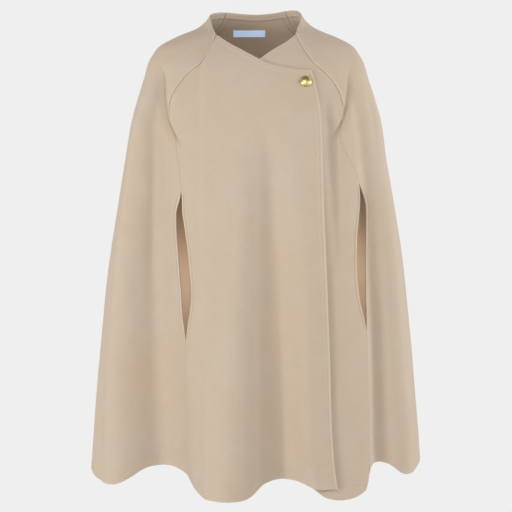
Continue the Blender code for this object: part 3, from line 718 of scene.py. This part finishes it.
def panel(node, edges, kinds, neck, hem, seed, slits=(None, None), raised=None):
    """A panel of the cape with turned edges, sewn seams and uneven cloth."""
    angles, heights, u, v = grid(edges, neck, hem)
    base = cape_point(angles, heights)
    normal = cape_normal(angles, heights)
    lift = waves(u, v, seed, WAVE_SIZES, WAVE_HEIGHT)
    lift += waves(u, v, seed + 50, RIPPLE_SIZES, RIPPLE_HEIGHT)
    quiet = ease(np.minimum(np.minimum(u, u.max(axis=1, keepdims=True) - u), v) / 0.05)
    creases, painted_crease_shade = crease_depth(base, np.mod(angles + 180.0, 360.0) - 180.0)
    lift = lift * quiet + creases
    if raised is not None:
        lift = lift + raised(angles, heights)
    base = base + normal * lift[..., None]
    normal = normals_of(base)

    width = u[:, -1:]
    lines = {
        "low": (base[:, 0], u < SIDE_ZONE), "high": (base[:, -1], width - u < SIDE_ZONE),
        "neck": (base[0], v < END_ZONE), "hem": (base[-1], v[-1:] - v < END_ZONE),
    }
    found = {key: distance_to(line, base, chosen) for key, (line, chosen) in lines.items()}
    half = np.full(u.shape, CLOTH / 2)
    outer_lift, inner_lift = np.zeros_like(u), np.zeros_like(u)
    # groove and groove_in paint a darker colour on the outer and inner faces into creases and along
    # seam, edge, slit and stitch lines: painted shade. rim paints a lighter colour along rolled
    # edges, seam ridges and slit lips: painted highlight.
    groove, rim = painted_crease_shade, np.zeros_like(u)
    groove_in = np.zeros_like(u)
    for key in ("neck", "hem"):
        d, at = found[key]
        uneven = 1.0 + 0.22 * np.sin(at * 0.31 + seed) + 0.12 * np.sin(at * 0.83 + 2 * seed)
        band = 1.0 - ease((d - 8.2 * MM) / (2.8 * MM))
        outer_lift += 0.35 * MM * band * uneven - 0.16 * MM * bump_mm(d, 11.0, 1.2)
        inner_lift += (0.35 * MM * band * uneven) if key == "hem" else 0.0
        half *= round_edge(d, 1.6 * MM)
        mark(rim, 0.35 * bump_mm(d, 1.6, 2.0))
        mark(groove, 0.30 * bump_mm(d, 0.0, 1.1))
    for key, kind, slit in zip(("low", "high"), kinds, slits):
        d, at = found[key]
        uneven = 1.0 + 0.20 * np.sin(at * 0.27 + seed) + 0.12 * np.sin(at * 0.71 + 3 * seed)
        if kind == "free":
            band = 1.0 - ease((d - 8.2 * MM) / (3.2 * MM))
            outer_lift += 0.38 * MM * band * uneven - 0.20 * MM * bump_mm(d, 11.4, 1.3)
            outer_lift -= 0.26 * MM * bump_mm(d, 5.6, 0.9)
            inner_lift += 0.38 * MM * band * uneven
            half *= round_edge(d, 1.7 * MM)
            mark(rim, 0.75 * bump_mm(d, 1.2, 2.4))
            mark(groove, 0.10 * bump_mm(d, 5.6, 1.0))
            mark(groove, 0.50 * bump_mm(d, 0.0, 0.9))
            continue
        column = 0 if key == "low" else -1
        level = np.interp(at, np.arange(len(heights)), heights[:, column])
        opened = np.zeros_like(d)
        if slit is not None:
            opened = ease(sum(np.clip(along(level, slit, lip), 0, None) for lip in (1, 2)))
        sewn = 1.0 - opened
        upper = (ease((level - SEAM_CLEAR_TO) / 0.05)
                 + SEAM_FAINT * ease((SEAM_FAINT_FROM - level) / 0.04))
        if kind == "over":
            outer_lift += sewn * uneven * 0.90 * upper * MM * bump_mm(d, 1.7, 1.5)
            mark(rim, sewn * 0.75 * upper * bump_mm(d, 1.4, 1.4))
        elif kind == "under":
            outer_lift -= sewn * uneven * 0.70 * upper * MM * bump_mm(d, 0.0, 2.0)
            mark(groove, sewn * 0.70 * upper * bump_mm(d, 0.0, 0.9))
        else:
            mark(groove, 0.4 * bump_mm(d, 0.0, 0.7))
            outer_lift -= 0.25 * MM * bump_mm(d, 0.0, 2.2)
        if slit is not None:
            outer_lift += opened * (0.55 * MM * bump_mm(d, 2.2, 1.9)
                                    - 0.55 * MM * bump_mm(d, 5.3, 0.9))
            mark(rim, opened * 0.7 * bump_mm(d, 1.4, 1.8))
            mark(groove, opened * 0.32 * bump_mm(d, 5.3, 0.8))
            inner_lift += opened * 0.35 * MM * (1.0 - ease((d - 8.0 * MM) / (2.5 * MM)))
        inner_lift += sewn * 0.75 * MM * (1.0 - ease((d - 9.4 * MM) / (1.1 * MM)))
        mark(groove_in, sewn * 0.5 * bump_mm(d, 0.0, 0.8))
        mark(groove_in, sewn * 0.35 * bump_mm(d, 10.6, 0.8))
        half *= round_edge(d, (0.55 + opened) * MM)

    scale = half / (CLOTH / 2)
    centre = base - normal * (CLOTH / 2)
    made = sheet_object(
        "wool_" + node, centre, normal, half + outer_lift * scale, half + inner_lift * scale,
        u, v, wool_cloth, {"groove": (groove, groove_in), "rim": (rim, rim * 0.6)})
    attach(made, "root")
    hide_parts(node)
    return made


def turn_in(node, low_seam, high_seam, neck, seed, turn=0.0):
    """The neck allowance between two seams, pressed down on the inner face."""
    notch = TURN_IN_NOTCH / 2
    edges = [seam_edge(low_seam, -1, turn=turn, clear=notch), seam_edge(high_seam, 1, clear=notch)]
    steps = EDGE_STEPS[:9]
    depth = TURN_IN_DEPTH
    drops = np.concatenate([0.7 * MM + steps[:6], np.linspace(2.8 * MM, depth - 2.2 * MM, 7),
                            depth - steps[:7][::-1]])
    angles, heights, u, v = grid(edges, neck, drops=drops, step=2.0 * MM, steps=steps)
    base = cape_point(angles, heights)
    normal = cape_normal(angles, heights)
    ends = np.minimum(u, u[:, -1:] - u)
    edge = np.minimum(np.minimum(ends, v - v[:1]), v[-1:] - v)
    edge = np.maximum(edge, 0.0)
    thick = 0.8 * MM * round_edge(edge, 0.8 * MM)
    sit = CLOTH + 0.95 * MM - 0.12 * MM * np.sin(u * 410 + seed) * ease(v / depth)
    centre = base - normal * sit[..., None]
    puff = 0.22 * MM * np.sin(u * 260 + seed) * ease(v / depth)
    # stitch paints shade into the stitches on the inner face; the even rim share paints the whole
    # turn-in lighter: painted highlight.
    stitch = 0.45 * bump_mm(v[-1:] - v, 1.4, 0.5) * (np.sin(u * 2 * np.pi / (5 * MM)) > 0.55)
    none, rim = np.zeros_like(u), np.full(u.shape, 0.3)
    made = sheet_object("wool_" + node, centre, normal, thick, thick * (1.0 + puff / MM),
                        u, v, wool_cloth, {"groove": (none, stitch), "rim": (rim, rim)})
    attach(made, "root")
    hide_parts(node)
    return made


def tube(path, radius, sides=8, closed=False):
    """Points, faces and cut coordinates of a round thread along a path."""
    path = np.asarray(path, float)
    count = len(path)
    if closed:
        run = np.roll(path, -1, 0) - np.roll(path, 1, 0)
    else:
        run = np.gradient(path, axis=0)
    run /= norm(run, axis=1, keepdims=True)
    helper = np.array((0.31, 0.52, 0.79))
    side = np.cross(run, helper)
    side /= norm(side, axis=1, keepdims=True)
    other = np.cross(run, side)
    turn = 2 * np.pi * np.arange(sides) / sides
    size = np.full(count, radius)
    if not closed:
        size[0] = size[-1] = radius * 0.45
    rings = (path[:, None] + size[:, None, None]
             * (side[:, None] * np.cos(turn)[:, None] + other[:, None] * np.sin(turn)[:, None]))
    points = rings.reshape(-1, 3).tolist()
    length = np.concatenate([[0], np.cumsum(norm(np.diff(path, axis=0), axis=1))])
    uvs = [(k / sides * 2 * np.pi * radius, length[i]) for i in range(count) for k in range(sides)]
    faces = []
    for i in range(count if closed else count - 1):
        m = (i + 1) % count
        for k in range(sides):
            n = (k + 1) % sides
            faces.append((i * sides + k, m * sides + k, m * sides + n, i * sides + n))
    if not closed:
        faces.append(tuple(range(sides)))
        faces.append(tuple((count - 1) * sides + k for k in reversed(range(sides))))
    return points, faces, uvs


def spun_faces(rings, segments):
    """Faces of a turned form: a centre point, then rings of points from the middle out."""
    faces = []
    for s in range(segments):
        n = (s + 1) % segments
        faces.append((0, 1 + s, 1 + n))
        for k in range(rings - 1):
            a, b = 1 + k * segments, 1 + (k + 1) * segments
            faces.append((a + s, b + s, b + n, a + n))
    return faces


def joined(parts):
    points, faces, uvs = [], [], []
    for p, f, t in parts:
        start = len(points)
        points += p
        faces += [tuple(i + start for i in face) for face in f]
        uvs += t
    return points, faces, uvs


def add_threads(name, parts, slot):
    points, faces, uvs = joined(parts)
    made = make_object(name, points, faces, uvs, slot)
    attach(made, "root")
    return made


# ---------- build

wool_cloth = wool("brushed wool", (0.530, 0.425, 0.322, 1.0), (0.660, 0.552, 0.436, 1.0))
label_cloth = satin("label satin")
gold = gilt("gilt")
wool_thread = thread("wool thread", (0.58, 0.47, 0.36, 1.0))
label_thread = thread("label thread", (0.62, 0.69, 0.80, 1.0))

right_front = panel(
    "right_front",
    [seam_edge(RIGHT_SEAM, -1, RIGHT_SLIT, 2), seam_edge(LAP_EDGE, 1)], ("under", "free"),
    NECK_RIGHT, HEM, 11, (RIGHT_SLIT, None), lap_height)
left_front = panel(
    "left_front",
    [seam_edge(UNDER_EDGE, -1), seam_edge(LEFT_SEAM, 1, LEFT_SLIT, 2)], ("free", "under"),
    NECK_LEFT, HEM_LEFT, 12, (None, LEFT_SLIT))
right_side = panel(
    "right_side",
    [seam_edge(RIGHT_BACK_SEAM, -1, turn=-360.0), seam_edge(RIGHT_SEAM, 1, RIGHT_SLIT, 1)],
    ("seam", "over"), NECK_RIGHT, HEM, 13, (None, RIGHT_SLIT))
left_side = panel(
    "left_side",
    [seam_edge(LEFT_SEAM, -1, LEFT_SLIT, 1), seam_edge(LEFT_BACK_SEAM, 1)],
    ("over", "seam"), NECK_LEFT, HEM_LEFT, 14, (LEFT_SLIT, None))
back = panel(
    "back",
    [seam_edge(LEFT_BACK_SEAM, -1), seam_edge(RIGHT_BACK_SEAM, 1)], ("seam", "seam"),
    NECK_BACK, HEM_BACK, 15)

back_turn_in = turn_in("back_neck_turn_in", LEFT_BACK_SEAM, RIGHT_BACK_SEAM, NECK_BACK, 1)
left_turn_in = turn_in("left_neck_turn_in", LEFT_SEAM, LEFT_BACK_SEAM, NECK_LEFT, 2)
right_turn_in = turn_in(
    "right_neck_turn_in", RIGHT_BACK_SEAM, RIGHT_SEAM, NECK_RIGHT, 3, turn=-360.0)


def angle_for_x(x, height):
    x, height = arrays(x, height)
    low, high = np.full(x.shape, 110.0), np.full(x.shape, 250.0)
    for _ in range(30):
        middle = 0.5 * (low + high)
        left = cape_point(middle, height)[..., 0] > x
        low, high = np.where(left, middle, low), np.where(left, high, middle)
    return 0.5 * (low + high)


def on_back(x, height, depth):
    angle = angle_for_x(x, height)
    return cape_point(angle, height) - cape_normal(angle, height) * np.asarray(depth)[..., None]


def build_label():
    """A bare woven tag with its ends folded under, caught down with small stitches."""
    end_steps = MM * np.array([0, .1, .3, .6, 1.0, 2.0, 3.0, 3.4, 3.8])
    long_steps = MM * np.array([0, .1, .3, .6, 1.2])
    columns = np.concatenate([
        LABEL_RIGHT - end_steps, np.linspace(LABEL_RIGHT - 5 * MM, LABEL_LEFT + 5 * MM, 26),
        LABEL_LEFT + end_steps[::-1],
    ])
    rows = np.concatenate([
        LABEL_TOP - long_steps, np.linspace(LABEL_TOP - 2 * MM, LABEL_BOTTOM + 2 * MM, 9),
        LABEL_BOTTOM + long_steps[::-1],
    ])
    u, v = np.meshgrid(LABEL_RIGHT - columns, LABEL_TOP - rows)
    end = np.minimum(u, u.max() - u)
    edge = np.minimum(end, np.minimum(v, v.max() - v))
    folded = 1 - ease((end - 3.0 * MM) / (0.8 * MM))
    thick = (0.28 + 0.22 * folded) * MM * round_edge(edge, 0.4 * MM)
    belly = 0.55 * MM * np.sin(np.pi * u / u.max()) * (0.5 + 0.5 * np.sin(u * 210 + 1.0))
    x, height = np.meshgrid(columns, rows)
    angle = angle_for_x(x, height)
    normal = cape_normal(angle, height)
    centre = cape_point(angle, height) - normal * (CLOTH + 0.75 * MM + belly)[..., None]
    # The fold mark paints shade along the folds at the label's ends.
    fold = 0.5 * bump_mm(end, 3.4, 0.3)
    made = sheet_object("satin_label", centre, normal, thick, thick, u, v, label_cloth,
                        {"groove": (fold, fold), "rim": (fold * 0, fold * 0)})
    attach(made, "root")
    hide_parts("label")
    threads = []
    for x in (LABEL_RIGHT - 1.1 * MM, LABEL_LEFT + 1.1 * MM):
        for height in np.arange(LABEL_TOP - 0.8 * MM, LABEL_BOTTOM + 0.4 * MM, -1.35 * MM):
            path = on_back(x, height + MM * np.array((0.45, 0.3, 0.0, -0.3, -0.45)),
                           CLOTH + MM * np.array((1.0, 1.45, 1.55, 1.45, 1.0)))
            threads.append(tube(path, 0.17 * MM, 6))
    return made, add_threads("label_stitches", threads, label_thread)


label, label_stitches = build_label()

button_out = cape_normal(BUTTON_ANGLE, BUTTON_HEIGHT)
button_across = np.cross((0.0, 0.0, 1.0), button_out)
button_across /= norm(button_across)
button_up = np.cross(button_out, button_across)
button_base = cape_point(BUTTON_ANGLE, BUTTON_HEIGHT)


def at_button(x, y, z):
    return button_base + x * button_across + y * button_up + z * button_out


def build_button():
    """A domed gilt button: beaded border, fluted band and a smooth crown, on a shank."""
    seat = LAP + 0.9 * MM
    r, dome = BUTTON_RADIUS / MM, BUTTON_DOME / MM
    crown = [     # radius in mm, share of the dome's height
        (0.0, 1.0), (1.2, 0.995), (2.6, 0.975), (4.0, 0.925), (5.2, 0.862), (6.0, 0.808),
        (6.35, 0.75), (6.6, 0.748), (6.9, 0.765), (7.6, 0.70), (8.4, 0.62), (8.9, 0.54),
        (9.1, 0.47), (9.35, 0.46), (9.6, 0.49), (10.1, 0.46), (10.5, 0.39), (r, 0.26), (r, 0.12),
    ]
    profile = [(radius, dome * share) for radius, share in crown]
    profile += [(10.5, 0.12), (9.8, 0.0), (7.0, 0.0), (3.2, 0.05)]
    # Shares of painted shade: on rings of the profile (grooves), in the hollows of the flutes and
    # beads, and on the shank.
    grooves = {6: 0.9, 7: 0.6, 12: 1.0, 13: 0.7}
    flutes, beads = (30, 0.16, 0.55), (40, 0.20, 0.45)     # count, height in mm, shade
    bands = {9: flutes, 10: flutes, 14: beads, 15: beads, 16: beads}
    segments = 120
    points, uvs, marks = [at_button(0, 0, seat + dome * MM)], [(0, 0)], [0.0]
    for k, (radius, out) in enumerate(profile[1:], 1):
        for s in range(segments):
            turn = 2 * np.pi * s / segments
            rise, shade = 0.0, grooves.get(k, 0.0)
            if k in bands:
                count, tall, dark = bands[k]
                wave = 0.5 + 0.5 * np.cos(turn * count)
                rise, shade = tall * wave, dark * (1 - wave)
            points.append(at_button(radius * MM * np.cos(turn), radius * MM * np.sin(turn),
                                    seat + (out + rise) * MM))
            uvs.append((radius * MM * turn, k * MM))
            marks.append(shade)
    faces = spun_faces(len(profile) - 1, segments)
    last = 1 + (len(profile) - 2) * segments
    faces.append(tuple(last + s for s in reversed(range(segments))))
    shank = tube([at_button(2.1 * MM * np.cos(a), 0, seat + (0.2 - 3.6 * np.sin(a)) * MM)
                  for a in np.linspace(0, np.pi, 15)], 0.75 * MM, 10)
    parts = joined([([list(p) for p in points], faces, uvs), shank])
    marks += [0.3] * len(shank[0])
    made = make_object("gilt_button", *parts, gold, {"groove": marks})
    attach(made, "root")
    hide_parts("button")


def build_buttonhole():
    """Opens the lapping front and edges the opening with close stitches."""
    long, tall, shift = 10.4 * MM, 0.75 * MM, -3.0 * MM
    turns = np.linspace(0, 2 * np.pi, 48, endpoint=False)
    lens = [(shift + long * np.cos(a), tall * np.sin(a) * abs(np.sin(a)) ** 0.3) for a in turns]
    work = bmesh.new()
    rings = [[work.verts.new(at_button(x, y, out)) for x, y in lens]
             for out in (LAP - CLOTH - 2.5 * MM, LAP + 2.5 * MM)]
    for i in range(len(lens)):
        m = (i + 1) % len(lens)
        work.faces.new((rings[0][i], rings[0][m], rings[1][m], rings[1][i]))
    work.faces.new(rings[0][::-1])
    work.faces.new(rings[1])
    bmesh.ops.recalc_face_normals(work, faces=work.faces[:])
    mesh = bpy.data.meshes.new("cutter")
    work.to_mesh(mesh)
    work.free()
    cutter = add_object("cutter", mesh)
    cut = right_front.modifiers.new("hole", "BOOLEAN")
    cut.operation, cut.solver, cut.object = "DIFFERENCE", "EXACT", cutter
    graph = bpy.context.evaluated_depsgraph_get()
    opened = bpy.data.meshes.new_from_object(right_front.evaluated_get(graph))
    right_front.modifiers.clear()
    right_front.data = opened
    bpy.data.objects.remove(cutter, do_unlink=True)
    threads = []
    draw = np.random.default_rng(5)
    count = 92
    # share of a stitch's reach, height over its seat in mm
    stitch = ((-0.05, -0.7), (0.02, 0.1), (0.35, 0.25), (0.75, 0.15), (1.0, -0.35))
    for i in range(count):
        a = 2 * np.pi * i / count
        x, y = shift + long * np.cos(a), tall * np.sin(a)
        nx, ny = np.cos(a) * 0.25 if abs(np.cos(a)) < 0.96 else np.cos(a), np.sin(a)
        size = math.hypot(nx, ny)
        nx, ny = nx / size, ny / size
        reach = draw.uniform(1.8, 2.2) * MM
        path = [at_button(x + nx * s * reach, y + ny * s * reach, LAP + (0.22 + lift) * MM)
                for s, lift in stitch]
        threads.append(tube(path, 0.24 * MM, 6))
    edge = [at_button(shift + long * np.cos(a), tall * np.sin(a), LAP + 0.25 * MM)
            for a in np.linspace(0, 2 * np.pi, 72, endpoint=False)]
    threads.append(tube(edge, 0.32 * MM, 8, closed=True))
    return add_threads("buttonhole_stitches", threads, wool_thread)


build_button()
buttonhole = build_buttonhole()

# ---------- stage, light, camera

SWEEP_TONE, SWEEP_LIGHT = 0.863, 0.47     # the backdrop as seen, and as it lights the cape
SWEEP_FLAT, SWEEP_BEND, SWEEP_WALL = 4.5, 2.5, 7.0
FLOOR_LEVEL = -1.40
MIDDLE = (0, 0, -0.4)
WHITE, WARM = (1.0, 1.0, 1.0), (1.0, 0.85, 0.72)
LIGHTS = [     # name, place, aim, diameter, power, colour
    ("key", (-2.20, -2.49, 0.31), MIDDLE, 1.4, 28, WHITE),
    ("low key", (-2.37, -2.37, -0.99), MIDDLE, 0.7, 22, WHITE),
    ("front", (0.0, -2.70, 1.35), MIDDLE, 1.4, 21, WHITE),
    ("fill", (2.87, -1.67, 0.31), MIDDLE, 1.4, 20, WHITE),
    ("right rim", (3.30, 0.62, 0.31), MIDDLE, 1.4, 52, WHITE),
    ("left rim", (-3.13, 1.14, 0.31), MIDDLE, 1.4, 21, WHITE),
    # What the floor would throw up inside the cape, behind the arm slits.
    ("inside right", (-0.145, 0.03, -0.50), (-0.145, 0.3, -0.50), 0.16, 0.105, WARM),
    ("inside left", (0.205, 0.00, -0.50), (0.215, 0.3, -0.50), 0.14, 0.155, WARM),
]


def build_stage():
    """A round pale floor that sweeps up into the backdrop, the same from every side."""
    n = Nodes("pale sweep")
    n.set(Base_Color=(0.0, 0.0, 0.0, 1.0), Roughness=1.0, Specular_IOR_Level=0.0,
          Emission_Color=(1.0, 1.0, 1.0, 1.0))
    seen = n.add("LightPath").outputs["Is Camera Ray"]
    n.feed("Emission Strength", n.ramp(seen, 0.0, 1.0, SWEEP_LIGHT, SWEEP_TONE))
    rings = [(2.0, 0.0), (SWEEP_FLAT, 0.0)]
    for i in range(1, 13):
        turn = math.radians(90 * i / 12)
        rings.append((SWEEP_FLAT + SWEEP_BEND * math.sin(turn),
                      SWEEP_BEND - SWEEP_BEND * math.cos(turn)))
    rings += [(SWEEP_WALL, 4.5), (SWEEP_WALL, 7.0)]
    segments = 96
    points = [(0.0, 0.0, FLOOR_LEVEL)]
    for radius, up in rings:
        for s in range(segments):
            turn = 2 * math.pi * s / segments
            points.append((radius * math.cos(turn), radius * math.sin(turn), up + FLOOR_LEVEL))
    faces = spun_faces(len(rings), segments)
    made = make_object("sweep", points, faces, [p[:2] for p in points], n.material)


def look(place, aim):
    return (Vector(aim) - Vector(place)).to_track_quat("-Z", "Y").to_euler()


build_stage()
world = bpy.data.worlds.new("studio")
world.use_nodes = True
background = world.node_tree.nodes["Background"]
background.inputs["Color"].default_value = (1.0, 1.0, 1.0, 1.0)
background.inputs["Strength"].default_value = 0.10
scene.world = world
for name, place, aim, size, power, colour in LIGHTS:
    data = bpy.data.lights.new(name, "AREA")
    data.shape, data.size, data.energy, data.color = "DISK", size, power, colour
    light = add_object(name, data)
    light.location, light.rotation_euler = place, look(place, aim)
    light.visible_camera = False
scene.view_settings.view_transform = "Standard"

camera = add_object("camera", bpy.data.cameras.new("camera"))
camera.data.lens, camera.data.sensor_width = CAMERA_LENS, CAMERA_SENSOR
camera.location, camera.rotation_euler = CAMERA_PLACE, look(CAMERA_PLACE, CAMERA_AIM)
scene.camera = camera

bpy.context.view_layer.update()
